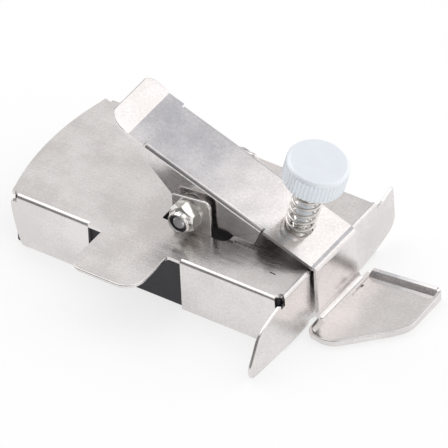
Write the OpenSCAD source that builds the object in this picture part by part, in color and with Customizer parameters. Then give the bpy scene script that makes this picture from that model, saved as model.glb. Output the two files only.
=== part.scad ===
// Magnetic edge guide for a sewing machine bed: a folded sheet-metal base
// holding bar magnets, and a sprung lever that carries a presser tongue.
// +X runs along the base towards the tongue, +Y to the rear, +Z up.
// The origin is on the underside of the magnets, midway along and across the base.

/* [Base] */
// Length of the base along X, without its curved left edge
base_len = 80; // [74:1:90]
// Depth of the base along Y
base_depth = 44; // [42:1:50]
// How far the plate's left corners stand past the base's length
left_reach = 0.9; // [0:0.1:2]
// Height of the base above the machine bed
base_h = 15.9; // [15:0.1:18]
// How far the curved left edge bulges out
left_bulge = 3.1; // [2:0.1:5]
// Thickness of every folded sheet
sheet = 1; // [0.8:0.1:1.2]
// Outside radius of the folds
fold_r = 1.2; // [1.2:0.1:1.6]
// Gap between the bed and the lower edge of the sheet
sheet_lift = 0.3; // [0.2:0.1:0.5]

/* [Front tab] */
// Left side of the tab
tab_x0 = -13.1; // [-15:0.1:-12]
// Right side of the tab
tab_x1 = 6.4; // [4:0.1:8]
// How far the tab stands out from the front wall
tab_reach = 15.4; // [10:0.1:18]
// Right end of the left front wall
wall_gap_x0 = -17.4; // [-19:0.1:-16]
// Left end of the right front wall
wall_gap_x1 = 10; // [9:0.1:12]

/* [Lever] */
// Slope of the lever at rest, in degrees
lever_slope = 20.6; // [18:0.1:22]
// Width of the lever across its side flanges
lever_w = 18.3; // [16:0.1:20]
// Offset of the lever's centre line from the base's, along Y
lever_y = 0.9; // [0:0.1:1]
// Length of the thumb pad past its fold
pad_len = 7; // [5:0.5:10]
// Width of the thumb pad
pad_w = 19.8; // [19:0.1:21]
// Upward bend of the thumb pad, in degrees
pad_bend = 5.5; // [3:0.5:8]

/* [Pivot] */
// X position of the pivot bolt
pivot_x = 5.4; // [4.5:0.1:6.5]
// Height of the pivot bolt
pivot_z = 21.3; // [21:0.1:22]
// Diameter of the pivot bolt
bolt_d = 4; // [3:0.5:4]
// Radial clearance of the lever on the bolt
pivot_clearance = 0.06; // [0.02:0.01:0.1]

/* [Thumb screw] */
// Lean of the screw towards the tongue, in degrees
screw_lean = 16; // [14:0.5:18]
// Diameter of the knurled knob
knob_d = 16.4; // [14:0.2:16.4]
// Thickness of the knurled knob
knob_h = 7; // [5:0.1:7.4]
// Diameter of the plain collar under the knob
collar_d = 8; // [7:0.5:9]
// Length of the plain collar under the knob
collar_h = 3.7; // [3:0.1:5]
// Number of knurl grooves round the knob
knurl_count = 48; // [36:2:60]
// Outside diameter of the spring
spring_d = 8; // [7.6:0.1:8.4]
// Diameter of the spring wire
wire_d = 0.8; // [0.6:0.1:1]
// Number of turns of the spring
spring_turns = 5.5; // [4.5:0.5:6]

/* [Tongue] */
// Height of the tongue's floor above the bed
tongue_lift = 0.4; // [0.3:0.1:1]
// Height of the raised rim above the tongue's floor
rim_h = 1.1; // [0.8:0.1:1.5]
// Height of the rear lip above the tongue's floor
lip_h = 2.4; // [2:0.1:3]

/* [Hidden] */
$fn = 96;
eps = 0.01;

half_len = base_len / 2;
half_depth = base_depth / 2;
plate_z = base_h - sheet;
steel = [0.78, 0.77, 0.77];
zinc = [0.83, 0.87, 0.92];

// Ears that hold the pivot bolt
ear_gap = 1.15;
ear_in_front = lever_y - lever_w / 2 - ear_gap;
ear_in_rear = lever_y + lever_w / 2 + ear_gap;
ear_x0 = 0.2;
ear_x1 = 11.7;
ear_top_left = 25.3;
ear_top_right = 26.6;
window_x0 = -2.9;
window_x1 = 16.2;
window_r = 2.4;
window_r_left = 0.8;

// Lever, in its own frame: origin on the pivot, X along the plate, Z square to it
wall_out_x = 41.7;
fold_corner_z = 16.5;
fold_dx = wall_out_x - pivot_x;
fold_dz = fold_corner_z - pivot_z;
lever_end = fold_dx * cos(lever_slope) - fold_dz * sin(lever_slope);
lever_top = fold_dx * sin(lever_slope) + fold_dz * cos(lever_slope);
lever_front = lever_y - lever_w / 2;
pad_fold = -23.1;
flange_end = 18.4;
tongue_top = tongue_lift + sheet;

// Thumb screw, along its own axis from the centre of the knob's top face
knob_top_x = 37.43;
knob_top_z = 43.35;
screw_d = 4;
washer_t = 0.5;
washer_z = knob_h + collar_h;
spring_top = washer_z + washer_t;
drop = knob_top_z - fold_corner_z - (wall_out_x - knob_top_x) * tan(lever_slope);
axis_to_lever = drop / (cos(screw_lean) + sin(screw_lean) * tan(lever_slope));
spring_tilt_room = spring_d / 2 * tan(lever_slope - screw_lean);
spring_len = axis_to_lever - spring_top - spring_tilt_room - 0.05;
screw_len = 37.2;
screw_x_at_lever = knob_top_x - axis_to_lever * sin(screw_lean);
screw_z_at_lever = knob_top_z - axis_to_lever * cos(screw_lean);
slot_from = (screw_x_at_lever - pivot_x) * cos(lever_slope)
          - (screw_z_at_lever - pivot_z) * sin(lever_slope);
slot_r = 2.45;
slot_run = 1.4;
anchor_x = knob_top_x - tan(screw_lean) * (knob_top_z - plate_z + 3);

// Washers and nut on the pivot bolt, from the front ear outwards
washer_od = 8;
nut_af = 7;
nut_hex_h = 3;
nut_h = 4.7;
nut_collar_d = 6.3;
ring_od = 5;
front_face = ear_in_front - sheet;
nut_face = front_face - washer_t;
bolt_head_d = 7;
bolt_head_h = 2.6;
bolt_end = nut_face - nut_h + 0.1;

// Points of an outline whose corners are rounded: each entry is [x, y, radius]
function corner_arc(a, b, c, r, n = 8) =
    let (u = (a - b) / norm(a - b), v = (c - b) / norm(c - b))
    let (half = acos(u * v) / 2, reach = r / tan(half))
    let (mid = (u + v) / norm(u + v), centre = b + mid * r / sin(half))
    let (from = b + u * reach - centre, to = b + v * reach - centre)
    let (start = atan2(from[1], from[0]), turn = atan2(to[1], to[0]) - start)
    let (sweep = turn > 180 ? turn - 360 : turn < -180 ? turn + 360 : turn)
    [for (i = [0:n]) centre + r * [cos(start + sweep * i / n), sin(start + sweep * i / n)]];

function xy(p) = [p[0], p[1]];

function rounded(pts) = [
    for (i = [0:len(pts) - 1])
        let (a = xy(pts[(i + len(pts) - 1) % len(pts)]), b = xy(pts[i]), c = xy(pts[(i + 1) % len(pts)]))
        each (pts[i][2] > 0 ? corner_arc(a, b, c, pts[i][2]) : [b])
];

// A convex outline, counter-clockwise, moved inwards by d with its radii kept
function inset(pts, d) = [
    for (i = [0:len(pts) - 1])
        let (a = xy(pts[(i + len(pts) - 1) % len(pts)]), b = xy(pts[i]), c = xy(pts[(i + 1) % len(pts)]))
        let (u = (b - a) / norm(b - a), v = (c - b) / norm(c - b))
        let (m = [-u[1], u[0]] + [-v[1], v[0]])
        let (p = b + m * d / (1 + u * v))
        [p[0], p[1], max(pts[i][2] - d, 0)]
];

// Extrudes a (y, z) outline along X from x0 to x1
module along_x(x0, x1) {
    translate([x0, 0, 0]) rotate([90, 0, 90]) linear_extrude(x1 - x0) children();
}

// Extrudes an (x, z) outline along Y from y0 to y1
module along_y(y0, y1) {
    translate([0, y1, 0]) rotate([90, 0, 0]) linear_extrude(y1 - y0) children();
}

// A round bar along Y from y0 to y1
module bar_y(x, z, d, y0, y1) {
    translate([x, y1, z]) rotate([90, 0, 0]) cylinder(d = d, h = y1 - y0);
}

// Places children in the lever's own frame
module in_lever() {
    translate([pivot_x, 0, pivot_z]) rotate([0, lever_slope, 0]) children();
}

// Places children on the screw's axis: Z runs down it from the knob's top
module on_screw() {
    translate([knob_top_x, lever_y, knob_top_z]) rotate([0, 180 + screw_lean, 0]) children();
}

// A wall folded down from the plate: outer corner at the origin, outwards +X, up +Y
module wall_section(foot) {
    mid = [-fold_r, -fold_r];
    steps = 6;
    function at(r, i) = mid + r * [cos(90 - 90 * i / steps), sin(90 - 90 * i / steps)];
    polygon(concat(
        [for (i = [0:steps]) at(fold_r, i)],
        [[0, foot], [-sheet, foot]],
        [for (i = [steps:-1:0]) at(fold_r - sheet, i)]
    ));
}

// ---- base shell ----

module plate_outline() {
    inner = half_depth - fold_r;
    arc_r = (inner * inner + left_bulge * left_bulge) / (2 * left_bulge);
    union() {
        translate([-half_len + fold_r / 2, -inner]) square([base_len - fold_r * 1.5, 2 * inner]);
        translate([-left_reach, 0]) intersection() {
            translate([-half_len - left_bulge + arc_r, 0]) circle(r = arc_r, $fn = 360);
            translate([-half_len - left_bulge, -inner]) square([left_bulge + fold_r + 1, 2 * inner]);
        }
        translate([wall_gap_x0, -half_depth]) square([wall_gap_x1 - wall_gap_x0, half_depth]);
        polygon(rounded([
            [tab_x0, -inner, 0],
            [tab_x0, -half_depth - tab_reach, 3.6],
            [tab_x1, -half_depth - tab_reach, 5.2],
            [tab_x1, -inner, 0]
        ]));
    }
}

module window_outline() {
    polygon(rounded([
        [window_x0, ear_in_front - sheet, window_r_left],
        [window_x1, ear_in_front - sheet, window_r],
        [window_x1, ear_in_rear + sheet, window_r],
        [window_x0, ear_in_rear + sheet, window_r_left]
    ]));
}

module side_wall(x0, x1) {
    translate([0, half_depth, base_h]) along_x(x0, x1) wall_section(sheet_lift - base_h);
}

// The long walls run on past their folds, and their ends sweep in towards the bed
module wall_end_outline() {
    polygon([
        [-half_len + 1.1, base_h - 2],
        [-half_len - 0.6, base_h - 2],
        [-half_len - 0.5, 11],
        [-half_len + 0.1, 7.4],
        [-half_len + 1.1, 2.8]
    ]);
}

// The end plate is wider than the base: it guides the cloth's edge
module guide_outline() {
    top = base_h - fold_r - 0.5;
    polygon(rounded([
        [-19.6, top, 0],
        [-21.6, top - 0.2, 0.8],
        [-31.2, top - 3, 5],
        [-36.9, 2.7, 1.4],
        [-35.3, sheet_lift, 0.8],
        [17.5, sheet_lift, 12],
        [29.4, 4, 3.2],
        [29.2, base_h - 0.2, 0.5],
        [27.2, base_h - 0.7, 1.2],
        [25.2, base_h - 1.6, 1.4],
        [22.8, base_h - 1.7, 0.8],
        [21.4, top, 0]
    ]));
}

module guide_plate() {
    along_x(half_len - sheet, half_len) guide_outline();
    translate([half_len, 0, base_h]) along_y(-19.6, 21.4) wall_section(-fold_r - 0.5);
}

// An ear bent up from the plate: its outline in (x, z)
module ear_outline() {
    polygon(rounded([
        [ear_x0, base_h - sheet, 0],
        [ear_x1, base_h - sheet, 0],
        [ear_x1, ear_top_right, 2.2],
        [ear_x0, ear_top_left, 0.7]
    ]));
}

module ears() {
    along_y(ear_in_front - sheet, ear_in_front) ear_outline();
    along_y(ear_in_rear, ear_in_rear + sheet) ear_outline();
}

module base_shell() color(steel) difference() {
    union() {
        difference() {
            translate([0, 0, plate_z]) linear_extrude(sheet) plate_outline();
            translate([0, 0, plate_z - eps]) linear_extrude(sheet + 2 * eps) window_outline();
        }
        mirror([0, 1, 0]) side_wall(-half_len + 1.1, wall_gap_x0);
        mirror([0, 1, 0]) side_wall(wall_gap_x1, half_len - fold_r - 0.1);
        side_wall(-half_len + 1.1, half_len - fold_r - 0.1);
        for (y = [-half_depth, half_depth - sheet]) along_y(y, y + sheet) wall_end_outline();
        guide_plate();
        ears();
    }
    // corner relief at the front right, where three faces meet
    translate([half_len - 1.1, -half_depth + 1.1, base_h - 2.6]) cylinder(r = 1.6, h = 5);
    bar_y(pivot_x, pivot_z, bolt_d + 0.2, ear_in_front - 3, ear_in_rear + 3);
    on_screw() translate([0, 0, 20]) cylinder(d = screw_d + 1.2, h = 14);
}

// ---- magnets ----

module magnet_block(x0, x1, y0, y1) {
    translate([x0, y0, 0]) cube([x1 - x0, y1 - y0, plate_z - 0.1]);
}

magnet_y = half_depth - sheet - 0.2;
magnet_split = anchor_x - 7.6;
magnet_end = half_len - sheet - 0.4;

module magnet_main() color([0.15, 0.14, 0.17]) magnet_block(-40.2, magnet_split, -magnet_y, magnet_y);

module magnet_front() color([0.15, 0.14, 0.17])
    magnet_block(magnet_split + 0.4, magnet_end, -magnet_y, lever_y - 6);

module magnet_rear() color([0.15, 0.14, 0.17])
    magnet_block(magnet_split + 0.4, magnet_end, lever_y + 6, magnet_y);

// ---- screw anchor, welded under the plate ----

module screw_anchor() color([0.6, 0.6, 0.6]) difference() {
    translate([anchor_x - 5.5, lever_y - 5.5, plate_z - 6]) cube([11, 11, 6]);
    on_screw() translate([0, 0, 20]) cylinder(r = screw_d / 2 + 0.05, h = 24);
}

// ---- pivot ----

module pivot_bolt() color([0.7, 0.7, 0.71]) {
    bar_y(pivot_x, pivot_z, bolt_d, bolt_end, ear_in_rear + sheet + eps);
    difference() {
        bar_y(pivot_x, pivot_z, bolt_head_d, ear_in_rear + sheet, ear_in_rear + sheet + bolt_head_h);
        for (turn = [0, 90])
            translate([pivot_x, ear_in_rear + sheet + bolt_head_h, pivot_z]) rotate([0, turn, 0])
                cube([3, 2.4, 0.7], center = true);
    }
}

module lock_nut() color([0.82, 0.83, 0.85]) difference() {
    union() {
        translate([pivot_x, nut_face, pivot_z]) rotate([90, 0, 0])
            cylinder(d = nut_af / cos(30), h = nut_hex_h, $fn = 6);
        translate([pivot_x, nut_face, pivot_z]) rotate([90, 0, 0]) cylinder(d = nut_collar_d, h = nut_h);
    }
    bar_y(pivot_x, pivot_z, bolt_d + 0.02, nut_face - nut_h - 1, nut_face + 1);
    bar_y(pivot_x, pivot_z, ring_od + 0.02, nut_face - nut_h - 1, nut_face - nut_h + 1.5);
}

module washer(od, id, y0, t) {
    difference() {
        bar_y(pivot_x, pivot_z, od, y0, y0 + t);
        bar_y(pivot_x, pivot_z, id, y0 - 1, y0 + t + 1);
    }
}

module lock_ring() color([0.12, 0.12, 0.14]) washer(ring_od, bolt_d + 0.02, nut_face - nut_h + 0.3, 1.15);

module nut_washer() color([0.8, 0.8, 0.8]) washer(washer_od, bolt_d + 0.2, nut_face, washer_t);

module spacer_washers() color([0.8, 0.8, 0.8]) {
    washer(washer_od, bolt_d + 0.2, ear_in_front, 1);
    washer(washer_od, bolt_d + 0.2, ear_in_rear - 1, 1);
}

// ---- lever with its presser tongue ----

// A point given along and square to the lever's plate, turned to its resting slope
function turned(p) = [pivot_x + p[0] * cos(lever_slope) + p[1] * sin(lever_slope),
                      pivot_z - p[0] * sin(lever_slope) + p[1] * cos(lever_slope)];

// Side flange, deepest round the pivot
module flange_outline() {
    polygon([for (p = rounded([
        [-17.9, lever_top - 0.6, 0],
        [-17.9, 4.2, 1.6],
        [-6.2, -1.2, 3],
        [-3, -4.2, 2.5],
        [3, -4.2, 3],
        [9, -0.9, 3],
        [18.3, 2.3, 1],
        [flange_end, lever_top - 0.6, 0]
    ])) turned(p)]);
}

pad_top = turned([pad_fold, lever_top]);
pad_under = turned([pad_fold, lever_top - sheet]);
pad_angle = lever_slope + pad_bend;

// The plate, the wall that drops past the guide, and the start of the tongue, in one strip
module strip_outline() {
    polygon([
        pad_top,
        turned([lever_end - 1.5, lever_top]),
        [wall_out_x - 0.45, fold_corner_z + 0.02],
        [wall_out_x, fold_corner_z - 0.7],
        [wall_out_x, tongue_top + 0.4],
        [wall_out_x + 0.4, tongue_top],
        [wall_out_x + 2, tongue_top],
        [wall_out_x + 2, tongue_lift],
        [wall_out_x - sheet + 0.6, tongue_lift],
        [wall_out_x - sheet, tongue_lift + 0.6],
        [wall_out_x - sheet, fold_corner_z - 0.75],
        pad_under
    ]);
}

module lever_channel() {
    lever_rear = lever_front + lever_w;
    for (y = [lever_front, lever_rear - sheet]) along_y(y, y + sheet) flange_outline();
    along_y(lever_front, lever_rear) strip_outline();
}

module thumb_pad() {
    run = [-cos(pad_angle), sin(pad_angle)] * pad_len;
    thick = [-sin(pad_angle), -cos(pad_angle)] * sheet;
    middle = lever_y + 0.5;
    intersection() {
        along_y(middle - pad_w / 2, middle + pad_w / 2)
            polygon([pad_top, pad_top + run, pad_top + run + thick, pad_under]);
        translate([0, 0, pad_top[1] - 5]) linear_extrude(20) polygon(rounded([
            [pad_top[0] + 2, middle - pad_w / 2 + 0.5, 0],
            [pad_top[0] + 2, middle + pad_w / 2 - 0.5, 0],
            [pad_top[0] - pad_len * cos(pad_angle) - 0.2, middle + pad_w / 2, 3.2],
            [pad_top[0] - pad_len * cos(pad_angle) - 0.2, middle - pad_w / 2, 5]
        ]));
    }
}

tongue = [
    [42.9, -14.9, 1.6],
    [49.6, -16.2, 3.2],
    [63.9, -1.6, 3],
    [63.9, 14.9, 1.8],
    [42.9, 12.6, 1]
];

module tongue_tray() {
    // floor
    translate([0, 0, tongue_lift]) linear_extrude(sheet) polygon(rounded(tongue));
    // rim on the front and right sides, and the higher rear lip
    difference() {
        translate([0, 0, tongue_lift]) linear_extrude(sheet + rim_h) polygon(rounded(tongue));
        translate([0, 0, tongue_lift - 1]) linear_extrude(9) polygon(rounded(inset(tongue, sheet)));
        translate([40, -12.2, tongue_lift - 1]) cube([5, 40, 9]);
    }
    intersection() {
        difference() {
            translate([0, 0, tongue_lift]) linear_extrude(sheet + lip_h) polygon(rounded(tongue));
            translate([0, 0, tongue_lift - 1]) linear_extrude(9) polygon(rounded(inset(tongue, sheet)));
        }
        translate([44.2, 10.5, 0]) cube([17.4, 8, 9]);
    }
}

module clamp_lever() color(steel) difference() {
    union() {
        lever_channel();
        thumb_pad();
        tongue_tray();
    }
    bar_y(pivot_x, pivot_z, bolt_d + 2 * pivot_clearance, lever_front - 1, lever_front + lever_w + 1);
    in_lever() translate([0, 0, lever_top - 2]) linear_extrude(4) hull()
        for (x = [slot_from, slot_from + slot_run]) translate([x, lever_y]) circle(r = slot_r, $fn = 48);
}

// ---- thumb screw, washer and spring ----

module thumb_screw() color(zinc) on_screw() {
    difference() {
        rotate_extrude() polygon([
            [0, 0], [knob_d / 2 - 1, 0], [knob_d / 2, 0.7], [knob_d / 2, knob_h - 0.5],
            [knob_d / 2 - 0.5, knob_h], [collar_d / 2, knob_h], [collar_d / 2, washer_z],
            [screw_d / 2, washer_z], [screw_d / 2, screw_len - 0.5], [screw_d / 2 - 0.5, screw_len],
            [0, screw_len]
        ]);
        for (i = [0:knurl_count - 1])
            rotate([0, 0, i * 360 / knurl_count]) translate([knob_d / 2 + 0.15, 0, -1])
                cylinder(d = 0.7, h = knob_h + 2, $fn = 16);
    }
}

module spring_washer() color([0.8, 0.8, 0.8]) on_screw() translate([0, 0, washer_z]) difference() {
    cylinder(d = collar_d + 0.4, h = washer_t);
    translate([0, 0, -1]) cylinder(d = screw_d + 0.12, h = washer_t + 2);
}

// A coil of wire along Z from 0 to len, with closed end turns
module coil(r, wire, length, turns, steps = 18, sides = 6) {
    count = round(turns * steps);
    rise = length - wire;
    function lift(t) = wire / 2 + rise * (t < 0.14 ? t * 0.45 : t > 0.86 ? 1 - (1 - t) * 0.45
                       : 0.063 + (t - 0.14) * (0.874 / 0.72));
    rings = [for (i = [0:count]) for (j = [0:sides - 1])
        let (a = 360 * i / steps, b = 360 * j / sides)
        [(r + wire / 2 * cos(b)) * cos(a), (r + wire / 2 * cos(b)) * sin(a),
         lift(i / count) + wire / 2 * sin(b)]];
    sides_faces = [for (i = [0:count - 1]) for (j = [0:sides - 1])
        [i * sides + j, i * sides + (j + 1) % sides, (i + 1) * sides + (j + 1) % sides, (i + 1) * sides + j]];
    ends = [[for (j = [0:sides - 1]) sides - 1 - j], [for (j = [0:sides - 1]) count * sides + j]];
    polyhedron(rings, concat(sides_faces, ends));
}

module pressure_spring() color([0.75, 0.74, 0.73]) on_screw() translate([0, 0, spring_top])
    coil((spring_d - wire_d) / 2, wire_d, spring_len, spring_turns);

base_shell();
magnet_main();
magnet_front();
magnet_rear();
screw_anchor();
pivot_bolt();
lock_nut();
lock_ring();
nut_washer();
spacer_washers();
clamp_lever();
thumb_screw();
spring_washer();
pressure_spring();
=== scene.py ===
import math

import bmesh
import bpy
from mathutils import Matrix, Vector

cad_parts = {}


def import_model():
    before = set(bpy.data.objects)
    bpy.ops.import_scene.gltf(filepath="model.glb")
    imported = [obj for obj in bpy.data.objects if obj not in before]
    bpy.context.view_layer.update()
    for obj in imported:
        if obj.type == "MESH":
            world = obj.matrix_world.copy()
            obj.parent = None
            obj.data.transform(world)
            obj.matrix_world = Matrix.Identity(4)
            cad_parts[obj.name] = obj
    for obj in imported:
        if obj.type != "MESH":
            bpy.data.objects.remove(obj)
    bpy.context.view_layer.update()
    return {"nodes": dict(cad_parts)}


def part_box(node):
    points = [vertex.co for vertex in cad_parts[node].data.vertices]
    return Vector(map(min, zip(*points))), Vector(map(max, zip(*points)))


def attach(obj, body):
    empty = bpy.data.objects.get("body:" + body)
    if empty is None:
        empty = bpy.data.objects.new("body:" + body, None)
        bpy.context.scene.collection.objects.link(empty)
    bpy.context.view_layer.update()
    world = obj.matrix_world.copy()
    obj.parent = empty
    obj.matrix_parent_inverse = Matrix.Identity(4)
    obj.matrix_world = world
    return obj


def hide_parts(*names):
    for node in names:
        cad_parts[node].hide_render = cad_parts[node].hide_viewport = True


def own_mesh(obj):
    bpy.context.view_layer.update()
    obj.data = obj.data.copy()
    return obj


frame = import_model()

bl_info = {
    "name": "Magnetic edge guide",
    "version": (1, 0, 0),
    "blender": (4, 5, 0),
    "location": "3D View > Sidebar > Edge guide",
    "description": "Builds a magnetic sewing edge guide round its packed frame",
    "category": "Object",
}

MM = 0.001

# Where the pieces stand, in millimetres, as the frame has them
HALF_LEN = 40.0
HALF_DEPTH = 22.0
LEFT_EDGE = -40.9
TOP = 15.9
FOOT = 0.3
PIVOT = (5.4, 21.3)
LEVER_MID = 0.9
EAR_FRONT = -9.4
EAR_REAR = 11.2
NUT_FACE = -10.9
FOLD_WALL = 41.7
FOLD_TOP = 16.5
LEVER_SLOPE = math.radians(20.6)
TONGUE_LOW = 0.4
TONGUE_FLOOR = 1.4
# the thumb screw: the middle of its top face, its lean, and how far down the spring's washer sits
KNOB_TOP = Vector((37.43, 0.9, 43.35))
SCREW_LEAN = math.radians(16)
SEAT = 10.7
BOLT_HOLE = 2.1
# where the front wall stops and starts again beside the tab
WALL_END = -17.4
WALL_START = 10.0


# ---------------------------------------------------------------- modelling helpers

PLANES = {
    "XY": lambda a, b: (a, b, 0.0),
    "XZ": lambda a, b: (a, 0.0, b),
    "YZ": lambda a, b: (0.0, a, b),
}


def outline(points, plane="XY", segments=6):
    """One flat face whose corners are rounded: each point is (a, b, length cut off both sides)."""
    bm = bmesh.new()
    corners = [bm.verts.new(PLANES[plane](a, b)) for a, b, _ in points]
    bm.faces.new(corners)
    for corner, (_, _, cut) in zip(corners, points):
        if cut > 0:
            bmesh.ops.bevel(bm, geom=[corner], offset=cut, offset_type="OFFSET", affect="VERTICES",
                            segments=segments, profile=0.5, material=-1)
    return bm


def thicken(bm, along):
    """Extrudes every face of bm along a vector into a closed solid."""
    made = bmesh.ops.extrude_face_region(bm, geom=bm.faces[:])["geom"]
    moved = [g for g in made if isinstance(g, bmesh.types.BMVert)]
    bmesh.ops.translate(bm, vec=along, verts=moved)
    bmesh.ops.recalc_face_normals(bm, faces=bm.faces[:])
    return bm


def slab(points, plane, along, start=(0, 0, 0), segments=6):
    bm = thicken(outline(points, plane, segments), along)
    bmesh.ops.translate(bm, vec=start, verts=bm.verts[:])
    return bm


def softened(bm, width, wanted, clamp=False):
    """Rounds the sharp edges whose two ends both pass the test."""
    edges = [e for e in bm.edges if e.is_manifold and e.calc_face_angle() > math.radians(60)
             and all(wanted(v.co) for v in e.verts)]
    bmesh.ops.bevel(bm, geom=edges, offset=width, offset_type="OFFSET", affect="EDGES", segments=3,
                    profile=0.5, material=-1, clamp_overlap=clamp)
    return bm


def block(low, high):
    """A plain box between two corners."""
    bm = bmesh.new()
    bmesh.ops.create_cube(bm, size=1.0)
    low, high = Vector(low), Vector(high)
    bmesh.ops.scale(bm, vec=high - low, verts=bm.verts[:])
    bmesh.ops.translate(bm, vec=(low + high) / 2, verts=bm.verts[:])
    return bm


def turned(profile, steps=64, closed=False):
    """Spins an (r, z) profile round the Z axis."""
    bm = bmesh.new()
    row = [bm.verts.new((r, 0.0, z)) for r, z in profile]
    edges = [bm.edges.new(pair) for pair in zip(row, row[1:])]
    if closed:
        edges.append(bm.edges.new((row[-1], row[0])))
    bmesh.ops.spin(bm, geom=row + edges, cent=(0, 0, 0), axis=(0, 0, 1), angle=math.tau,
                   steps=steps, use_merge=True)
    bmesh.ops.remove_doubles(bm, verts=bm.verts[:], dist=0.0005)
    bmesh.ops.recalc_face_normals(bm, faces=bm.faces[:])
    return bm


def moved(bm, matrix):
    bmesh.ops.transform(bm, matrix=matrix, verts=bm.verts[:])
    return bm


def along_front(x, y, z):
    """Puts a spun shape on a line towards the front: its Z runs along -Y from (x, y, z)."""
    return Matrix.Translation((x, y, z)) @ Matrix.Rotation(math.radians(90), 4, "X")


def loose_object(bm):
    mesh = bpy.data.meshes.new("working")
    bm.to_mesh(mesh)
    bm.free()
    obj = bpy.data.objects.new("working", mesh)
    bpy.context.scene.collection.objects.link(obj)
    return obj


def joined(main, others, operation="UNION"):
    """The boolean of closed shapes, as a new bmesh."""
    body = loose_object(main)
    tools = [loose_object(other) for other in others]
    for tool in tools:
        step = body.modifiers.new("join", "BOOLEAN")
        step.operation = operation
        step.solver = "EXACT"
        step.object = tool
    bpy.context.view_layer.update()
    result = bpy.data.meshes.new_from_object(body.evaluated_get(bpy.context.evaluated_depsgraph_get()))
    bm = bmesh.new()
    bm.from_mesh(result)
    for obj in [body] + tools:
        bpy.data.objects.remove(obj)
    bpy.data.meshes.remove(result)
    return bm


def gather(*parts):
    """Several shapes in one mesh, left as they are."""
    bm = bmesh.new()
    for part in parts:
        mesh = bpy.data.meshes.new("working")
        part.to_mesh(mesh)
        part.free()
        bm.from_mesh(mesh)
        bpy.data.meshes.remove(mesh)
    return bm


def piece(name, bm, finish, body, stands_for=(), edge=0.0, segments=2, sharp=40):
    """Makes the finished object, with its edges softened by edge millimetres."""
    bmesh.ops.remove_doubles(bm, verts=bm.verts[:], dist=0.0008)
    bmesh.ops.dissolve_degenerate(bm, dist=0.0008, edges=bm.edges[:])
    bmesh.ops.scale(bm, vec=(MM, MM, MM), verts=bm.verts[:])
    mesh = bpy.data.meshes.new(name)
    bm.to_mesh(mesh)
    bm.free()
    mesh.materials.append(finish)
    obj = bpy.data.objects.new(name, mesh)
    bpy.context.scene.collection.objects.link(obj)
    mesh.polygons.foreach_set("use_smooth", [True] * len(mesh.polygons))
    if edge > 0:
        soft = obj.modifiers.new("soft_edges", "BEVEL")
        soft.width = edge * MM
        soft.segments = segments
        soft.limit_method = "ANGLE"
        soft.angle_limit = math.radians(sharp)
        soft.use_clamp_overlap = True
    else:
        mesh.set_sharp_from_angle(angle=math.radians(sharp))
    even = obj.modifiers.new("even_normals", "WEIGHTED_NORMAL")
    even.keep_sharp = True
    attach(obj, body)
    if stands_for:
        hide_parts(*stands_for)
    return obj


# ---------------------------------------------------------------- finishes

def node_maker(name):
    material = bpy.data.materials.new(name)
    material.use_nodes = True
    nodes, links = material.node_tree.nodes, material.node_tree.links
    nodes.clear()
    out = nodes.new("ShaderNodeOutputMaterial")
    shader = nodes.new("ShaderNodeBsdfPrincipled")
    links.new(shader.outputs["BSDF"], out.inputs["Surface"])
    return material, nodes, links, shader


def noise(nodes, links, scale, detail=3.0, stretch=None, rough=0.5):
    where = nodes.new("ShaderNodeTexCoord")
    spot = nodes.new("ShaderNodeTexNoise")
    spot.inputs["Scale"].default_value = scale
    spot.inputs["Detail"].default_value = detail
    spot.inputs["Roughness"].default_value = rough
    if stretch:
        turn = nodes.new("ShaderNodeMapping")
        turn.inputs["Scale"].default_value = stretch
        links.new(where.outputs["Object"], turn.inputs["Vector"])
        links.new(turn.outputs["Vector"], spot.inputs["Vector"])
    else:
        links.new(where.outputs["Object"], spot.inputs["Vector"])
    return spot.outputs["Fac"]


def ranged(nodes, links, value, low, high, to_low, to_high):
    step = nodes.new("ShaderNodeMapRange")
    step.inputs["From Min"].default_value = low
    step.inputs["From Max"].default_value = high
    step.inputs["To Min"].default_value = to_low
    step.inputs["To Max"].default_value = to_high
    links.new(value, step.inputs["Value"])
    return step.outputs["Result"]


def summed(nodes, links, a, b, operation="ADD"):
    step = nodes.new("ShaderNodeMath")
    step.operation = operation
    links.new(a, step.inputs[0])
    links.new(b, step.inputs[1])
    return step.outputs["Value"]


def bumped(nodes, links, shader, height, strength, distance, under=None):
    bump = nodes.new("ShaderNodeBump")
    bump.inputs["Strength"].default_value = strength
    bump.inputs["Distance"].default_value = distance
    links.new(height, bump.inputs["Height"])
    if under:
        links.new(under, bump.inputs["Normal"])
    links.new(bump.outputs["Normal"], shader.inputs["Normal"])
    return bump.outputs["Normal"]


def bow(nodes, links, start, end, fall):
    """A sheet's slow sag along X: level up to start, then ever steeper, fall metres lower at end."""
    where = nodes.new("ShaderNodeTexCoord")
    split = nodes.new("ShaderNodeSeparateXYZ")
    links.new(where.outputs["Object"], split.inputs["Vector"])
    along = ranged(nodes, links, split.outputs["X"], start, end, 0.0, 1.0)
    squared = summed(nodes, links, along, along, "MULTIPLY")
    return ranged(nodes, links, squared, 0.0, 1.0, 0.0, -fall)


def tinted(nodes, links, shader, factor, dark, light):
    ramp = nodes.new("ShaderNodeValToRGB")
    ramp.color_ramp.elements[0].color = (*dark, 1)
    ramp.color_ramp.elements[0].position = 0.3
    ramp.color_ramp.elements[1].color = (*light, 1)
    ramp.color_ramp.elements[1].position = 0.7
    links.new(factor, ramp.inputs["Fac"])
    links.new(ramp.outputs["Color"], shader.inputs["Base Color"])


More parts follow.
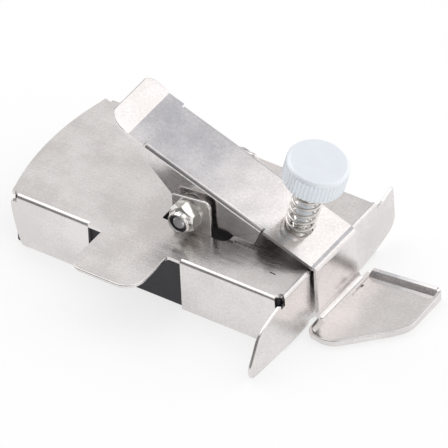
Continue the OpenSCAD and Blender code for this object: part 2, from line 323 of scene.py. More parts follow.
def sheet_steel(name, dark, light, rough_low, rough_high, grain=0.35, sag=None):
    """Cold-rolled stainless sheet: cloudy tone, a fine grain, hairline rubs."""
    material, nodes, links, shader = node_maker(name)
    shader.inputs["Metallic"].default_value = 1.0
    cloud = noise(nodes, links, 75, 4, rough=0.6)
    speck = noise(nodes, links, 1500, 3, rough=0.6)
    rubs = noise(nodes, links, 60, 2, stretch=(1.2, 45, 45))
    tone = summed(nodes, links, ranged(nodes, links, cloud, 0.3, 0.7, 0.15, 0.85),
                  ranged(nodes, links, speck, 0.3, 0.7, -0.22, 0.22))
    tinted(nodes, links, shader, tone, dark, light)
    rough = summed(nodes, links, ranged(nodes, links, cloud, 0.3, 0.7, rough_low, rough_high),
                   ranged(nodes, links, rubs, 0.35, 0.65, -0.03, 0.04))
    links.new(rough, shader.inputs["Roughness"])
    waves = ranged(nodes, links, noise(nodes, links, 38, 2), 0.3, 0.7, 0, 0.00022)
    if sag:
        waves = summed(nodes, links, waves, bow(nodes, links, *sag))
    slow = bumped(nodes, links, shader, waves, 1.0, 1.0)
    height = summed(nodes, links, speck, ranged(nodes, links, rubs, 0.3, 0.7, 0, 0.2))
    bumped(nodes, links, shader, height, grain, 0.00002, slow)
    return material


def plated(name, dark, light, rough, grain=0.15, metallic=1.0):
    """Bright plating on small turned parts."""
    material, nodes, links, shader = node_maker(name)
    shader.inputs["Metallic"].default_value = metallic
    speck = noise(nodes, links, 1100, 3)
    cloud = noise(nodes, links, 260, 2)
    tinted(nodes, links, shader, cloud, dark, light)
    links.new(ranged(nodes, links, speck, 0.3, 0.7, rough * 0.8, rough * 1.2), shader.inputs["Roughness"])
    bumped(nodes, links, shader, speck, grain, 0.00001)
    return material


def dull(name, dark, light, rough, scale, depth):
    """Pressed magnet or nylon: not metallic, slightly uneven."""
    material, nodes, links, shader = node_maker(name)
    shader.inputs["Metallic"].default_value = 0.0
    speck = noise(nodes, links, scale, 4, rough=0.65)
    tinted(nodes, links, shader, speck, dark, light)
    links.new(ranged(nodes, links, speck, 0.3, 0.7, rough - 0.08, rough + 0.08), shader.inputs["Roughness"])
    bumped(nodes, links, shader, speck, 0.4, depth)
    return material


FINISHES = {}


def finish(name):
    """Each finish is made once, when it is first asked for."""
    if name not in FINISHES:
        look = bpy.context.scene.edge_guide_looks
        steel = tuple(look.steel_colour)
        shade = tuple(c * 0.88 for c in steel)
        zinc = tuple(look.zinc_colour)
        makers = {
            "cover_steel": lambda: sheet_steel("cover_steel", shade, steel, 0.20, 0.30, 0.3),
            "lever_steel": lambda: sheet_steel("lever_steel", shade, steel, 0.16, 0.25, 0.4,
                                               (-0.002, 0.040, 0.0026)),
            "bright_plate": lambda: plated("bright_plate", (0.72, 0.71, 0.68), (0.86, 0.85, 0.82), 0.14),
            "dull_plate": lambda: plated("dull_plate", (0.52, 0.52, 0.53), (0.66, 0.66, 0.66), 0.34),
            "zinc_plate": lambda: plated("zinc_plate", tuple(c * 0.97 for c in zinc), zinc, 0.36, 0.01, 0.3),
            "spring_wire": lambda: plated("spring_wire", (0.66, 0.63, 0.60), (0.80, 0.77, 0.74), 0.18),
            "ferrite": lambda: dull("ferrite", (0.016, 0.015, 0.020), (0.026, 0.024, 0.030),
                                    0.55, 700, 0.00003),
            "nylon": lambda: dull("nylon", (0.010, 0.010, 0.014), (0.02, 0.02, 0.026), 0.4, 900, 0.00001),
        }
        FINISHES[name] = makers[name]()
    return FINISHES[name]


# ---------------------------------------------------------------- sheet-metal pieces

def fold_strip(length, depth, radius, thick, steps=7):
    """A wall folded down from a plate. The plate's edge is at the origin, outwards +Y, along +X."""
    points = []
    for i in range(steps + 1):
        a = math.radians(90 - 90 * i / steps)
        points.append((radius * math.cos(a) - radius, radius * math.sin(a) - radius, 0))
    points += [(0, -depth, 0), (-thick, -depth, 0)]
    inner = radius - thick
    for i in range(steps, -1, -1):
        a = math.radians(90 - 90 * i / steps)
        points.append((inner * math.cos(a) - radius, inner * math.sin(a) - radius, 0))
    return slab(points, "YZ", (length, 0, 0))


def mirrored_y(bm):
    bmesh.ops.scale(bm, vec=(1, -1, 1), verts=bm.verts[:])
    bmesh.ops.reverse_faces(bm, faces=bm.faces[:])
    return bm


def guide_plate(look):
    """The end plate with its two wings; the front one is dished outwards near the bed."""
    top = TOP - look.fold_radius - 0.3
    shape = [
        (-20.6, top, 0), (-22.2, top - 0.1, 0.5), (-24.4, 13.9, 1.2), (-31.6, 11.75, 2.6), (-36.9, 2.8, 2.0),
        (-35.4, 0.5, 0.9), (-9.4, 1.0, 0.4), (-8.4, FOOT, 0.4), (17.5, FOOT, 6.0), (29.4, 3.9, 3.0),
        (29.2, 15.7, 0.4), (27.2, 15.2, 1.0), (25.4, 14.4, 1.2), (23.0, 14.2, 0.8), (21.6, top, 0),
    ]
    bm = slab(shape, "YZ", (look.sheet, 0, 0), (HALF_LEN - look.sheet, 0, 0))
    softened(bm, look.edge_round, lambda p: p.z < top - 0.02 or p.y > 22 or p.y < -21)
    for i in range(22):
        bmesh.ops.bisect_plane(bm, geom=bm.verts[:] + bm.edges[:] + bm.faces[:],
                               plane_co=(0, -35.2 + 1.25 * i, 0), plane_no=(0, 1, 0), dist=0.0001)
    for i in range(13):
        bmesh.ops.bisect_plane(bm, geom=bm.verts[:] + bm.edges[:] + bm.faces[:],
                               plane_co=(0, 0, 1.1 + 0.85 * i), plane_no=(0, 0, 1), dist=0.0001)
    for vert in bm.verts:
        _, y, z = vert.co
        if y > -9:
            continue
        crease = max(8.0 * (y + 6.0) / -17.0, 0.5)
        swell = min(max((y + 36.0) / 21.5, 0.0), 1.0) * min((-9 - y) / 2.5, 1.0)
        vert.co.x += look.flare * swell * max(1 - z / crease, 0.0) ** 1.35
    return bm


def cover_plan(look):
    """The top plate's outline, with the tab, the curved left edge and the fold lines of the walls."""
    inner = HALF_DEPTH - look.fold_radius
    sag = look.left_bulge
    radius = (inner * inner + sag * sag) / (2 * sag)
    half = math.asin(inner / radius)
    arc = []
    for i in range(25):
        a = half - 2 * half * i / 24
        arc.append((LEFT_EDGE - sag + radius * (1 - math.cos(a)), radius * math.sin(a), 0))
    reach = HALF_DEPTH + look.tab_reach
    tab_left, tab_right, root = -13.1, 6.4, -21.95
    end = HALF_LEN - look.fold_radius
    return arc + [
        (-38.9, -inner, 0), (WALL_END, -inner, 0), (WALL_END, root, 0),
        (tab_left, root, 0.25), (tab_left, -23.0, 0), (tab_left, -reach, 3.5),
        (tab_right, -reach, 5.2), (tab_right, -23.0, 0), (tab_right, root, 0.6),
        (WALL_START, root, 0), (WALL_START, -inner, 0), (end, -inner, 0), (end, inner, 0),
    ]


def ear(look, y):
    """An upright ear with the bolt's hole, its front face at y."""
    shape = [(0.2, TOP - 0.6, 0), (11.7, TOP - 0.6, 0), (11.7, 26.7, 2.3), (0.2, 25.2, 0.8)]
    bm = slab(shape, "XZ", (0, look.sheet, 0), (0, y, 0))
    softened(bm, look.edge_round, lambda p: True)
    hole = moved(turned([(0, -5), (BOLT_HOLE, -5), (BOLT_HOLE, 5), (0, 5)], 40),
                 along_front(PIVOT[0], y, PIVOT[1]))
    return joined(bm, [hole], "DIFFERENCE")


def base_cover(look):
    """The folded base: plate, walls, ears and fence in one sheet."""
    plate = slab(cover_plan(look), "XY", (0, 0, -look.sheet), (0, 0, TOP), segments=8)
    softened(plate, look.edge_round, lambda p: p.y < -HALF_DEPTH - 0.9 or p.x < LEFT_EDGE - 0.02)
    depth = TOP - FOOT
    walls = []
    for front in (True, False):
        crest = fold_strip(3.4, look.fold_radius + 1.0, look.fold_radius, look.sheet)
        bmesh.ops.translate(crest, vec=(-38.9, HALF_DEPTH, TOP), verts=crest.verts[:])
        walls.append(mirrored_y(crest) if front else crest)
    for x0, x1, front in [(-36.0, WALL_END, True), (WALL_START, 39.0, True), (-36.0, 39.0, False)]:
        wall = fold_strip(x1 - x0, depth, look.fold_radius, look.sheet)
        bmesh.ops.translate(wall, vec=(x0, HALF_DEPTH, TOP), verts=wall.verts[:])
        walls.append(mirrored_y(wall) if front else wall)
    # the long walls run on past their folds, and sweep in towards the bed
    flap = [(-38.5, 13.9, 0), (-40.65, 13.9, 0.5), (-40.55, 11.0, 0.6), (-39.9, 7.4, 1.5), (-38.9, 2.8, 1.5),
            (-37.8, FOOT, 0), (-34.0, FOOT, 0), (-34.0, 13.9, 0)]
    for side in (-1, 1):
        y = side * HALF_DEPTH - (look.sheet if side > 0 else 0)
        walls.append(slab(flap, "XZ", (0, look.sheet, 0), (0, y, 0)))
    end = fold_strip(42.2, look.fold_radius + 0.3, look.fold_radius, look.sheet)
    end = moved(end, Matrix.Translation((HALF_LEN, 21.6, TOP)) @ Matrix.Rotation(math.radians(-90), 4, "Z"))
    bm = joined(plate, walls + [end, guide_plate(look)])
    window = slab([(-2.9, EAR_FRONT - 1, 0.5), (16.2, EAR_FRONT - 1, 2.3), (16.2, EAR_REAR + 1, 2.3),
                   (-2.9, EAR_REAR + 1, 1.0)], "XY", (0, 0, 4), (0, 0, TOP - 2))
    lean = Matrix.Translation((29.6, LEVER_MID, TOP)) @ Matrix.Rotation(SCREW_LEAN, 4, "Y")
    cuts = [window, moved(turned([(0, -6), (2.6, -6), (2.6, 6), (0, 6)], 40), lean)]
    relief = turned([(0, -2.8), (1.3, -2.8), (1.3, -0.4), (1.75, 0.05), (1.75, 2), (0, 2)], 36)
    cuts.append(moved(relief, Matrix.Translation((HALF_LEN - 0.95, 0.95 - HALF_DEPTH, TOP))))
    cuts.append(block((31.5, -14.2, TOP - 0.8), (33.3, -13.85, TOP + 1)))
    # a small square relief at each left corner, between the fold and the curved edge
    cuts += [block((-40.0, -23, 13.8), (-38.9, -20.5, 17)), block((-40.0, 20.5, 13.8), (-38.9, 23, 17))]
    bm = joined(bm, cuts, "DIFFERENCE")
    return joined(bm, [ear(look, EAR_FRONT - look.sheet), ear(look, EAR_REAR)])


def sloped():
    """The lever's frame: X along its plate, Z square to it, the origin on the pivot."""
    return Matrix.Translation((PIVOT[0], 0, PIVOT[1])) @ Matrix.Rotation(LEVER_SLOPE, 4, "Y")


def lever_sheet(look):
    """The folded lever: plate, flanges, thumb pad, drop wall and tongue in one sheet."""
    slope = LEVER_SLOPE
    dx, dz = FOLD_WALL - PIVOT[0], FOLD_TOP - PIVOT[1]
    end = dx * math.cos(slope) - dz * math.sin(slope)
    top = dx * math.sin(slope) + dz * math.cos(slope)
    half = look.lever_width / 2
    bend = 1.15
    pad_fold = -23.1
    left, right = -17.9, 18.4
    plan = []
    for side in (1, -1):
        row = [(end - 2.2, side * half, 0), (right + 0.5, side * half, 0),
               (right + 0.5, side * (half - bend), 0), (left - 0.5, side * (half - bend), 0),
               (left - 0.5, side * half, 0), (pad_fold, side * half, 0)]
        plan += row if side > 0 else row[::-1]
    plate = slab(plan[::-1], "XY", (0, 0, -look.sheet), (0, LEVER_MID, top))
    flange = [(left, top + 1, 0), (left, 4.2, 1.6), (-6.2, -1.2, 2), (-3, -4.2, 1.6), (3, -4.2, 1.6),
              (9, -0.9, 2), (12.1, 0.15, 0.3), (12.1, -0.2, 0.3), (18.1, 2.0, 1.0), (right, top + 1, 0)]
    sides = []
    for side in (1, -1):
        wall = fold_strip(right - left, 14, bend, look.sheet)
        bmesh.ops.translate(wall, vec=(left, half, top), verts=wall.verts[:])
        trim = slab(flange, "XZ", (0, 6, 0), (0, half - 3, 0))
        wall = joined(wall, [trim], "INTERSECT")
        softened(wall, look.edge_round, lambda p: p.z < top - bend - 0.1)
        if side < 0:
            wall = mirrored_y(wall)
        bmesh.ops.translate(wall, vec=(0, LEVER_MID, 0), verts=wall.verts[:])
        sides.append(wall)
    bm = moved(joined(plate, sides), sloped())

    # the wall that drops past the guide and turns out into the tongue
    def world(a, b):
        return (PIVOT[0] + a * math.cos(slope) + b * math.sin(slope),
                PIVOT[1] - a * math.sin(slope) + b * math.cos(slope))
    head, under = world(end - 2.2, top), world(end - 2.2, top - look.sheet)
    inner = FOLD_WALL - look.sheet
    inner_z = FOLD_TOP + math.tan(slope) * look.sheet - look.sheet / math.cos(slope)
    low, floor = TONGUE_LOW, TONGUE_FLOOR
    foot = 43.6
    strip = slab([(head[0], head[1], 0), (FOLD_WALL, FOLD_TOP, 0.95), (FOLD_WALL, floor, 1.7),
                  (foot, floor, 0), (foot, low, 0), (inner, low, 1.3), (inner, inner_z, 0.35),
                  (under[0], under[1], 0)],
                 "XZ", (0, look.lever_width, 0), (0, LEVER_MID - half, 0), segments=5)
    softened(strip, look.edge_round, lambda p: p.x > FOLD_WALL - 2 and 2.6 < p.z < FOLD_TOP + 1)
    pad_top, pad_under = world(pad_fold, top), world(pad_fold, top - look.sheet)
    tilt = slope + math.radians(look.pad_bend)
    run = Vector((-math.cos(tilt), math.sin(tilt))) * 7.0
    drop = Vector((-math.sin(tilt), -math.cos(tilt))) * look.sheet
    far = Vector(pad_top) + run
    low_far = far + drop
    wide = look.pad_width / 2
    middle = LEVER_MID + 0.45
    pad = slab([(pad_top[0], pad_top[1], 0), (far.x, far.y, 0), (low_far.x, low_far.y, 0),
                (pad_under[0], pad_under[1], 0)], "XZ", (0, 2 * wide, 0), (0, middle - wide, 0))
    trim = slab([(pad_top[0] + 0.5, LEVER_MID - half, 0), (pad_top[0] + 0.5, LEVER_MID + half, 0),
                 (far.x - 0.3, middle + wide, 3.6), (far.x - 0.3, middle - wide, 5.2)],
                "XY", (0, 0, 16), (0, 0, far.y - 9), segments=10)
    pad = joined(pad, [trim], "INTERSECT")
    softened(pad, look.edge_round, lambda p: p.x < pad_top[0] - 0.6)
    bm = joined(bm, [strip, pad, tongue_tray(look)])
    mark = block((44.0, 3.0, floor - 0.6), (44.6, 7.9, floor + 1))
    bore = moved(turned([(0, -14), (2.06, -14), (2.06, 14), (0, 14)], 40),
                 along_front(PIVOT[0], LEVER_MID, PIVOT[1]))
    span = 24.13
    slot = slab([(span - 2.35, -2.35, 2.3), (span + 3.75, -2.35, 2.3), (span + 3.75, 2.35, 2.3),
                 (span - 2.35, 2.35, 2.3)], "XY", (0, 0, 4), (0, LEVER_MID, top - 2), segments=12)
    return joined(bm, [bore, moved(slot, sloped()), mark], "DIFFERENCE")


TONGUE = [(42.3, -15.1, 2.0), (49.7, -16.2, 2.8), (60.9, -4.6, 0),
          (63.9, -0.9, 2.4), (63.8, 14.9, 2.0), (42.3, 12.5, 0)]


def tongue_tray(look):
    """The presser tongue: a shallow tray with a raised rim and a higher lip at the rear."""
    low, floor = TONGUE_LOW, TONGUE_FLOOR
    crest = 0.95
    rim_top = floor + look.rim_height
    bm = slab(TONGUE, "XY", (0, 0, rim_top - low), (0, 0, low), segments=5)
    face = max((f for f in bm.faces if f.normal.z > 0.9), key=lambda f: f.calc_area())
    bmesh.ops.inset_region(bm, faces=[face], thickness=crest, use_boundary=True, use_even_offset=True)
    bmesh.ops.inset_region(bm, faces=[face], thickness=look.rim_width - crest, use_boundary=True,
                           use_even_offset=True)
    for vert in face.verts:
        vert.co.z = floor
    for vert in bm.verts:
        if vert.co.z > floor + 0.1 and vert.co.y > 11.0:
            outermost = vert.co.y > 12.2 + 0.1116 * (vert.co.x - 42.3)
            vert.co.z += look.lip_height - look.rim_height + (0.35 if outermost else 0)
    softened(bm, look.edge_round, lambda p: p.z > floor + 0.2)
    softened(bm, 0.7, lambda p: p.z < low + 0.01)
    # level beside the drop wall: the rim runs out before it, and the lip starts past it
    above = floor + 0.03
    rim_end = slab([(-8.9, above, 0), (5.5, above, 0), (5.5, 4.5, 0), (-11.5, 4.5, 0)],
                   "YZ", (4.4, 0, 0), (40, 0, 0))
    lip_start = slab([(40, above, 0), (43.7, above, 0), (44.9, 4.6, 0), (40, 4.6, 0)],
                     "XZ", (0, 16, 0), (0, 4.5, 0))
    return joined(bm, [rim_end, lip_start], "DIFFERENCE")


# ---------------------------------------------------------------- turned parts and the spring

def knurled_knob(look):
    """The screw's head: chamfered, with straight knurls all round."""
    teeth = look.knurls
    count = teeth * 4
    radius = look.knob_diameter / 2
    bm = bmesh.new()
    bmesh.ops.create_circle(bm, segments=count, radius=radius - 1.05, cap_ends=True)
    high = look.knob_height
    # each level is its height, its radius and how much of the knurl's depth is cut there
    levels = [(0.08, radius - 0.85, 0), (0.75, radius - 0.12, 0.12), (0.95, radius, 1),
              (high - 0.8, radius, 1), (high - 0.6, radius - 0.1, 0.2), (high, radius - 0.75, 0)]
    edges = bm.edges[:]
    for height, size, cut in levels:
        grown = bmesh.ops.extrude_edge_only(bm, edges=edges)["geom"]
        edges = [g for g in grown if isinstance(g, bmesh.types.BMEdge)
                 and all(v in grown for v in g.verts) and g.is_boundary]
        verts = [g for g in grown if isinstance(g, bmesh.types.BMVert)]
        for vert in verts:
            angle = math.atan2(vert.co.y, vert.co.x)
            step = round(angle / math.tau * count) % 4
            r = size - (look.knurl_depth * cut if step >= 2 else 0)
            vert.co = (r * math.cos(angle), r * math.sin(angle), height)
    bmesh.ops.contextual_create(bm, geom=edges)
    bmesh.ops.recalc_face_normals(bm, faces=bm.faces[:])
    return bm


def screw_axis():
    """From the knob's top face down the screw."""
    return Matrix.Translation(KNOB_TOP) @ Matrix.Rotation(math.pi + SCREW_LEAN, 4, "Y")


def thread(r_out, r_in, pitch, start, end, steps=24):
    """A real helical thread, closed at both ends by a plain core."""
    turns = (end - start) / pitch
    bm = bmesh.new()
    profile = [(r_in, -0.5), (r_in, -0.36), (r_out, -0.06), (r_out, 0.06), (r_in, 0.36), (r_in, 0.5)]
    row = [bm.verts.new((r, 0, start + z * pitch)) for r, z in profile]
    edges = [bm.edges.new(pair) for pair in zip(row, row[1:])]
    count = int(turns * steps)
    bmesh.ops.spin(bm, geom=row + edges, cent=(0, 0, 0), axis=(0, 0, 1), dvec=(0, 0, pitch / steps),
                   angle=math.tau * count / steps, steps=count)
    bmesh.ops.remove_doubles(bm, verts=bm.verts[:], dist=0.002)
    bmesh.ops.recalc_face_normals(bm, faces=bm.faces[:])
    return bm


def thumb_screw(look):
    """The head with its collar and plain shank, and the thread on its lower part."""
    knob = knurled_knob(look)
    low = look.knob_height
    plain, core, tip = 1.9, 1.62, 37.2
    collar = turned([(0, low - 0.3), (3.4, low - 0.3), (4.0, low), (4.0, SEAT - 0.2), (3.8, SEAT),
                     (2.0, SEAT), (plain, SEAT + 0.3), (plain, SEAT + 9.5), (core, SEAT + 10.2),
                     (core, tip - 0.6), (1.2, tip), (0, tip)], 64)
    return gather(knob, collar), thread(2.0, 1.6, 0.7, SEAT + 10.0, tip - 0.8)


def pressure_spring(look):
    """The coil round the screw, with a closed turn at each end."""
    radius = (look.spring_diameter - look.wire) / 2
    bm = bmesh.new()
    start, height = SEAT + 0.55, 12.2
    steps = 36
    made = bmesh.ops.create_circle(bm, segments=12, radius=look.wire / 2, cap_ends=False)["verts"]
    turn = Matrix.Translation((radius, 0, start + look.wire / 2)) @ Matrix.Rotation(math.radians(90), 4, "X")
    bmesh.ops.transform(bm, matrix=turn, verts=made)
    edges = bm.edges[:]
    bmesh.ops.contextual_create(bm, geom=edges)
    closed = look.wire * 0.96
    middle = look.spring_turns - 1.6
    stretches = [(0.8, closed * 0.8), (middle, height - look.wire - 1.6 * closed), (0.8, closed * 0.8)]
    geom = made + edges
    for turns, rise in stretches:
        count = round(turns * steps)
        grown = bmesh.ops.spin(bm, geom=geom, cent=(0, 0, 0), axis=(0, 0, 1), dvec=(0, 0, rise / count),
                               angle=math.tau * count / steps, steps=count)["geom_last"]
        geom = [g for g in grown if not isinstance(g, bmesh.types.BMFace)]
    bmesh.ops.contextual_create(bm, geom=[g for g in geom if isinstance(g, bmesh.types.BMEdge)])
    bmesh.ops.remove_doubles(bm, verts=bm.verts[:], dist=0.001)
    bmesh.ops.recalc_face_normals(bm, faces=bm.faces[:])
    return bm


def lock_nut():
    """Hexagon with chamfered corners, a round collar and a rolled lip over the nylon ring."""
    across, hex_high, high = 7.0, 3.2, 4.7
    corner = across / 2 / math.cos(math.radians(30))
    bm = bmesh.new()
    bmesh.ops.create_circle(bm, segments=6, radius=corner, cap_ends=True)
    thicken(bm, (0, 0, hex_high))
    crown = turned([(0, 0), (corner - 0.45, 0), (corner, 0.28), (corner, hex_high - 0.5),
                    (across / 2 - 0.2, hex_high), (0, hex_high)], 72)
    bm = joined(bm, [crown], "INTERSECT")
    lip = turned([(0, 2.0), (3.1, 2.0), (3.1, high - 0.75), (3.0, high - 0.3), (2.8, high),
                  (2.52, high - 0.02), (2.4, high - 0.3), (2.4, high - 1.0), (0, high - 1.0)], 72)
    bm = joined(bm, [lip])
    return joined(bm, [turned([(0, -1), (2.02, -1), (2.02, 6), (0, 6)], 48)], "DIFFERENCE")


def washer(outer, inner, thick):
    """A flat ring with its outer corners just broken."""
    soft = 0.08
    return turned([(inner, 0.0), (outer - soft, 0.0), (outer, soft), (outer, thick - soft),
                   (outer - soft, thick), (inner, thick)], 56, closed=True)


# ---------------------------------------------------------------- settings

def length(label, text, default):
    return bpy.props.FloatProperty(name=label, description=text, default=default, min=0.0)


class EdgeGuideSheet(bpy.types.PropertyGroup):
    """Sizes of the folded sheets, in millimetres."""
    sheet: length("Sheet", "Thickness of the sheets", 1.0)
    edge_round: length("Edge rounding", "Radius of the sheets' deburred edges", 0.3)
    fold_radius: length("Fold radius", "Outside radius of the base's folds", 1.2)
    left_bulge: length("Left bulge", "How far the curved left edge stands out", 3.0)
    tab_reach: length("Tab reach", "How far the tab stands out at the front", 15.35)
    flare: length("Flare", "How far the guide's front wing is dished outwards", 1.3)
    lever_width: length("Lever width", "Width of the lever over its flanges", 18.3)
    pad_width: length("Pad width", "Width of the thumb pad", 19.7)
    pad_bend: length("Pad bend", "Upward bend of the thumb pad, in degrees", 5.5)
    rim_width: length("Rim width", "Width of the tongue's rim", 1.6)
    rim_height: length("Rim height", "Height of the tongue's rim over its floor", 1.1)
    lip_height: length("Lip height", "Height of the tongue's rear lip over its floor", 1.8)


class EdgeGuideScrew(bpy.types.PropertyGroup):
    """Sizes of the thumb screw and its spring, in millimetres."""
    knob_diameter: length("Knob diameter", "Diameter of the knurled head", 16.3)
    knob_height: length("Knob height", "Thickness of the knurled head", 7.0)
    knurl_depth: length("Knurl depth", "Depth of the grooves round the head", 0.28)
    knurls: bpy.props.IntProperty(name="Knurls", description="Grooves round the head", default=48, min=12)
    spring_diameter: length("Spring diameter", "Outside diameter of the spring", 7.9)
    wire: length("Wire", "Diameter of the spring's wire", 0.8)
    spring_turns: length("Turns", "Turns of the spring", 5.5)


class EdgeGuideLooks(bpy.types.PropertyGroup):
    """Colours and light."""
    steel_colour: bpy.props.FloatVectorProperty(name="Steel", description="Colour of the sheets",
                                                subtype="COLOR", size=3, default=(0.80, 0.775, 0.765),
                                                min=0, max=1)
    zinc_colour: bpy.props.FloatVectorProperty(name="Zinc", description="Colour of the knob",
                                               subtype="COLOR", size=3, default=(0.90, 0.95, 1.0),
                                               min=0, max=1)
    room_light: bpy.props.FloatProperty(name="Room light", description="Strength of the light from all round",
                                        default=1.0, min=0)
    key_light: bpy.props.FloatProperty(name="Key light", description="Power of the main soft light",
                                       default=2.6, min=0, subtype="POWER", unit="POWER")


# ---------------------------------------------------------------- operators

class GUIDE_OT_base(bpy.types.Operator):
    """Build the folded base with its tab, ears and end guide."""
    bl_idname = "edge_guide.base"
    bl_label = "Base cover"

    def execute(self, context):
        look = context.scene.edge_guide_sheet
        piece("base_cover", base_cover(look), finish("cover_steel"), "base", ["base_shell"],
              sharp=32)
        return {"FINISHED"}


class GUIDE_OT_magnets(bpy.types.Operator):
    """Build the magnets and finish the hidden screw anchor."""
    bl_idname = "edge_guide.magnets"
    bl_label = "Magnets"

    def execute(self, context):
        for name in ("magnet_main", "magnet_front", "magnet_rear"):
            low, high = (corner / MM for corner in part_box(name))
            piece(name + "_bar", block(low, high), finish("ferrite"), "base", [name], edge=0.35,
                  segments=3)
        anchor = frame["nodes"]["screw_anchor"]
        for slot in anchor.material_slots:
            slot.material = finish("bright_plate")
        return {"FINISHED"}


class GUIDE_OT_lever(bpy.types.Operator):
    """Build the lever with its thumb pad and presser tongue."""
    bl_idname = "edge_guide.lever"
    bl_label = "Lever"

    def execute(self, context):
        look = context.scene.edge_guide_sheet
        piece("lever_sheet", lever_sheet(look), finish("lever_steel"), "lever",
              ["clamp_lever"], sharp=32)
        return {"FINISHED"}


class GUIDE_OT_pivot(bpy.types.Operator):
    """Build the pivot bolt, its lock nut and washers."""
    bl_idname = "edge_guide.pivot"
    bl_label = "Pivot hardware"

    def execute(self, context):
        x, z = PIVOT
        place = along_front(x, NUT_FACE, z)
        piece("lock_nut_hex", moved(lock_nut(), place), finish("bright_plate"), "base",
              ["lock_nut"], sharp=28)
        ring = turned([(2.02, 3.75), (2.38, 3.75), (2.38, 4.25), (2.25, 4.38), (2.02, 4.3)], 48, closed=True)
        piece("lock_ring_nylon", moved(ring, place), finish("nylon"), "base", ["lock_ring"])
        head = NUT_FACE - EAR_REAR - 1.0
        shaft = turned([(0, 4.55), (1.35, 4.55), (1.62, 4.35), (1.98, 3.9), (1.98, head), (3.5, head),
                        (3.5, head - 1.5), (3.0, head - 2.4), (1.8, head - 2.6), (1.8, head - 1.5),
                        (0, head - 1.5)], 48)
        piece("pivot_bolt_shaft", moved(shaft, place), finish("dull_plate"), "base", ["pivot_bolt"],
              sharp=30)
        piece("nut_washer_disc", moved(washer(4.0, BOLT_HOLE, 0.5), along_front(x, NUT_FACE + 0.5, z)),
              finish("bright_plate"), "base", ["nut_washer"], sharp=30)
        spacers = gather(moved(washer(4.0, BOLT_HOLE, 1.0), along_front(x, EAR_FRONT + 1.0, z)),
                         moved(washer(4.0, BOLT_HOLE, 1.0), along_front(x, EAR_REAR, z)))
        piece("spacer_washer_pair", spacers, finish("bright_plate"), "base", ["spacer_washers"],
              sharp=30)
        return {"FINISHED"}


class GUIDE_OT_screw(bpy.types.Operator):
    """Build the thumb screw, its washer and the pressure spring."""
    bl_idname = "edge_guide.screw"
    bl_label = "Thumb screw and spring"

    def execute(self, context):
        look = context.scene.edge_guide_screw
        axis = screw_axis()
        head, ridges = thumb_screw(look)
        piece("thumb_screw_head", moved(head, axis), finish("zinc_plate"), "screw", ["thumb_screw"],
              sharp=30)
        piece("thumb_screw_thread", moved(ridges, axis), finish("bright_plate"), "screw", sharp=25)
        disc = moved(washer(4.1, BOLT_HOLE, 0.5), axis @ Matrix.Translation((0, 0, SEAT)))
        piece("spring_washer_disc", disc, finish("bright_plate"), "screw_carriage",
              ["spring_washer"], sharp=30)
        coil = piece("pressure_spring_coil", moved(pressure_spring(look), axis), finish("spring_wire"),
                     "screw_carriage", ["pressure_spring"], sharp=60)
        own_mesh(coil)
        return {"FINISHED"}


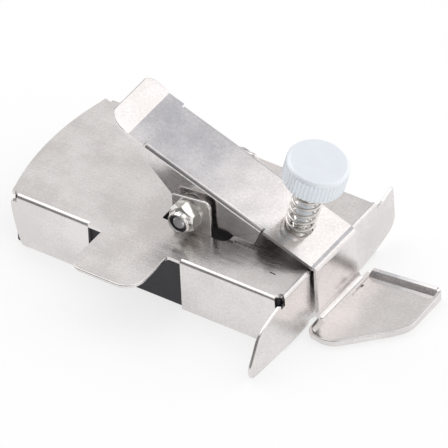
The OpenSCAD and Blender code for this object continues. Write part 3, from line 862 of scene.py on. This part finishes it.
class GUIDE_OT_stage(bpy.types.Operator):
    """Set the pale floor, the soft lights and the camera."""
    bl_idname = "edge_guide.stage"
    bl_label = "Stage"

    def execute(self, context):
        scene = context.scene
        look = scene.edge_guide_looks
        mesh = bpy.data.meshes.new("floor")
        bm = bmesh.new()
        bmesh.ops.create_grid(bm, x_segments=1, y_segments=1, size=1.5)
        bm.to_mesh(mesh)
        bm.free()
        floor = bpy.data.objects.new("floor", mesh)
        floor.location = (0, 0, -0.00005)
        scene.collection.objects.link(floor)
        material, _, _, shader = node_maker("pale_floor")
        shader.inputs["Base Color"].default_value = (0.30, 0.30, 0.30, 1)
        shader.inputs["Emission Color"].default_value = (1, 1, 1, 1)
        shader.inputs["Emission Strength"].default_value = 0.72
        shader.inputs["Roughness"].default_value = 0.9
        shader.inputs["Specular IOR Level"].default_value = 0.1
        mesh.materials.append(material)

        world = bpy.data.worlds.new("soft_room")
        world.use_nodes = True
        nodes, links = world.node_tree.nodes, world.node_tree.links
        sky = nodes["Background"]
        where = nodes.new("ShaderNodeTexCoord")
        split = nodes.new("ShaderNodeSeparateXYZ")
        links.new(where.outputs["Generated"], split.inputs["Vector"])
        shift = nodes.new("ShaderNodeMapRange")
        shift.inputs["From Min"].default_value = -1.0
        links.new(split.outputs["X"], shift.inputs["Value"])
        ramp = nodes.new("ShaderNodeValToRGB")
        stops = [(0.0, (0.85, 0.85, 0.86)), (0.28, (0.80, 0.78, 0.77)), (0.45, (0.66, 0.66, 0.68)),
                 (0.55, (0.56, 0.58, 0.64)), (0.575, (0.80, 0.80, 0.81)), (0.605, (1.5, 1.46, 1.45)),
                 (1.0, (1.0, 0.99, 0.98))]
        band = ramp.color_ramp
        band.elements[0].position, band.elements[0].color = stops[0][0], (*stops[0][1], 1)
        band.elements[1].position, band.elements[1].color = stops[-1][0], (*stops[-1][1], 1)
        for spot, colour in stops[1:-1]:
            band.elements.new(spot).color = (*colour, 1)
        links.new(shift.outputs["Result"], ramp.inputs["Fac"])
        depth = nodes.new("ShaderNodeMapRange")
        depth.inputs["From Min"].default_value = -0.45
        depth.inputs["From Max"].default_value = 0.15
        depth.inputs["To Min"].default_value = 0.30
        links.new(split.outputs["Y"], depth.inputs["Value"])
        shaded = nodes.new("ShaderNodeVectorMath")
        shaded.operation = "SCALE"
        links.new(ramp.outputs["Color"], shaded.inputs[0])
        links.new(depth.outputs["Result"], shaded.inputs["Scale"])
        links.new(shaded.outputs["Vector"], sky.inputs["Color"])
        sky.inputs["Strength"].default_value = look.room_light
        scene.world = world

        lights = [("key", (-0.40, 0.0, 0.80), 0.9, look.key_light),
                  ("fill", (0.65, -0.35, 0.35), 0.4, look.key_light * 0.15)]
        for name, spot, size, power in lights:
            data = bpy.data.lights.new(name, "AREA")
            data.energy = power
            data.size = size
            lamp = bpy.data.objects.new(name, data)
            lamp.location = spot
            aim = Vector((0.01, 0, 0.015)) - Vector(spot)
            lamp.rotation_euler = aim.to_track_quat("-Z", "Y").to_euler()
            scene.collection.objects.link(lamp)

        data = bpy.data.cameras.new("camera")
        data.sensor_width = 36.0
        data.lens = 1165.6
        camera = bpy.data.objects.new("camera", data)
        right = Vector((0.83286, 0.55209, -0.03940))
        back = Vector((0.4426, -0.6216, 0.6463)).normalized()
        up = back.cross(right).normalized()
        right = up.cross(back).normalized()
        away = 3.618
        aimed = Matrix((right, up, back)).transposed().to_4x4()
        aimed.translation = Vector((0.00357, 0.00683, 0.00413)) + back * away
        camera.matrix_world = aimed
        data.clip_start, data.clip_end = 0.5, 20.0
        scene.collection.objects.link(camera)
        scene.camera = camera
        scene.view_settings.view_transform = "Standard"
        return {"FINISHED"}


class GUIDE_PT_panel(bpy.types.Panel):
    """Lists the settings and the operators."""
    bl_idname = "GUIDE_PT_panel"
    bl_label = "Edge guide"
    bl_space_type = "VIEW_3D"
    bl_region_type = "UI"
    bl_category = "Edge guide"

    def draw(self, context):
        scene = context.scene
        for group in (scene.edge_guide_sheet, scene.edge_guide_screw, scene.edge_guide_looks):
            box = self.layout.box()
            for key in group.__annotations__:
                box.prop(group, key)
        for step in STEPS:
            self.layout.operator(step.bl_idname)


GROUPS = (EdgeGuideSheet, EdgeGuideScrew, EdgeGuideLooks)
STEPS = (GUIDE_OT_base, GUIDE_OT_magnets, GUIDE_OT_lever, GUIDE_OT_pivot, GUIDE_OT_screw, GUIDE_OT_stage)


def register():
    for cls in GROUPS + STEPS + (GUIDE_PT_panel,):
        bpy.utils.register_class(cls)
    bpy.types.Scene.edge_guide_sheet = bpy.props.PointerProperty(type=EdgeGuideSheet)
    bpy.types.Scene.edge_guide_screw = bpy.props.PointerProperty(type=EdgeGuideScrew)
    bpy.types.Scene.edge_guide_looks = bpy.props.PointerProperty(type=EdgeGuideLooks)


def unregister():
    del bpy.types.Scene.edge_guide_looks
    del bpy.types.Scene.edge_guide_screw
    del bpy.types.Scene.edge_guide_sheet
    for cls in reversed(GROUPS + STEPS + (GUIDE_PT_panel,)):
        bpy.utils.unregister_class(cls)


def main():
    register()
    bpy.ops.edge_guide.base()
    bpy.ops.edge_guide.magnets()
    bpy.ops.edge_guide.lever()
    bpy.ops.edge_guide.pivot()
    bpy.ops.edge_guide.screw()
    bpy.ops.edge_guide.stage()
    bpy.context.view_layer.update()


if __name__ == "__main__":
    main()
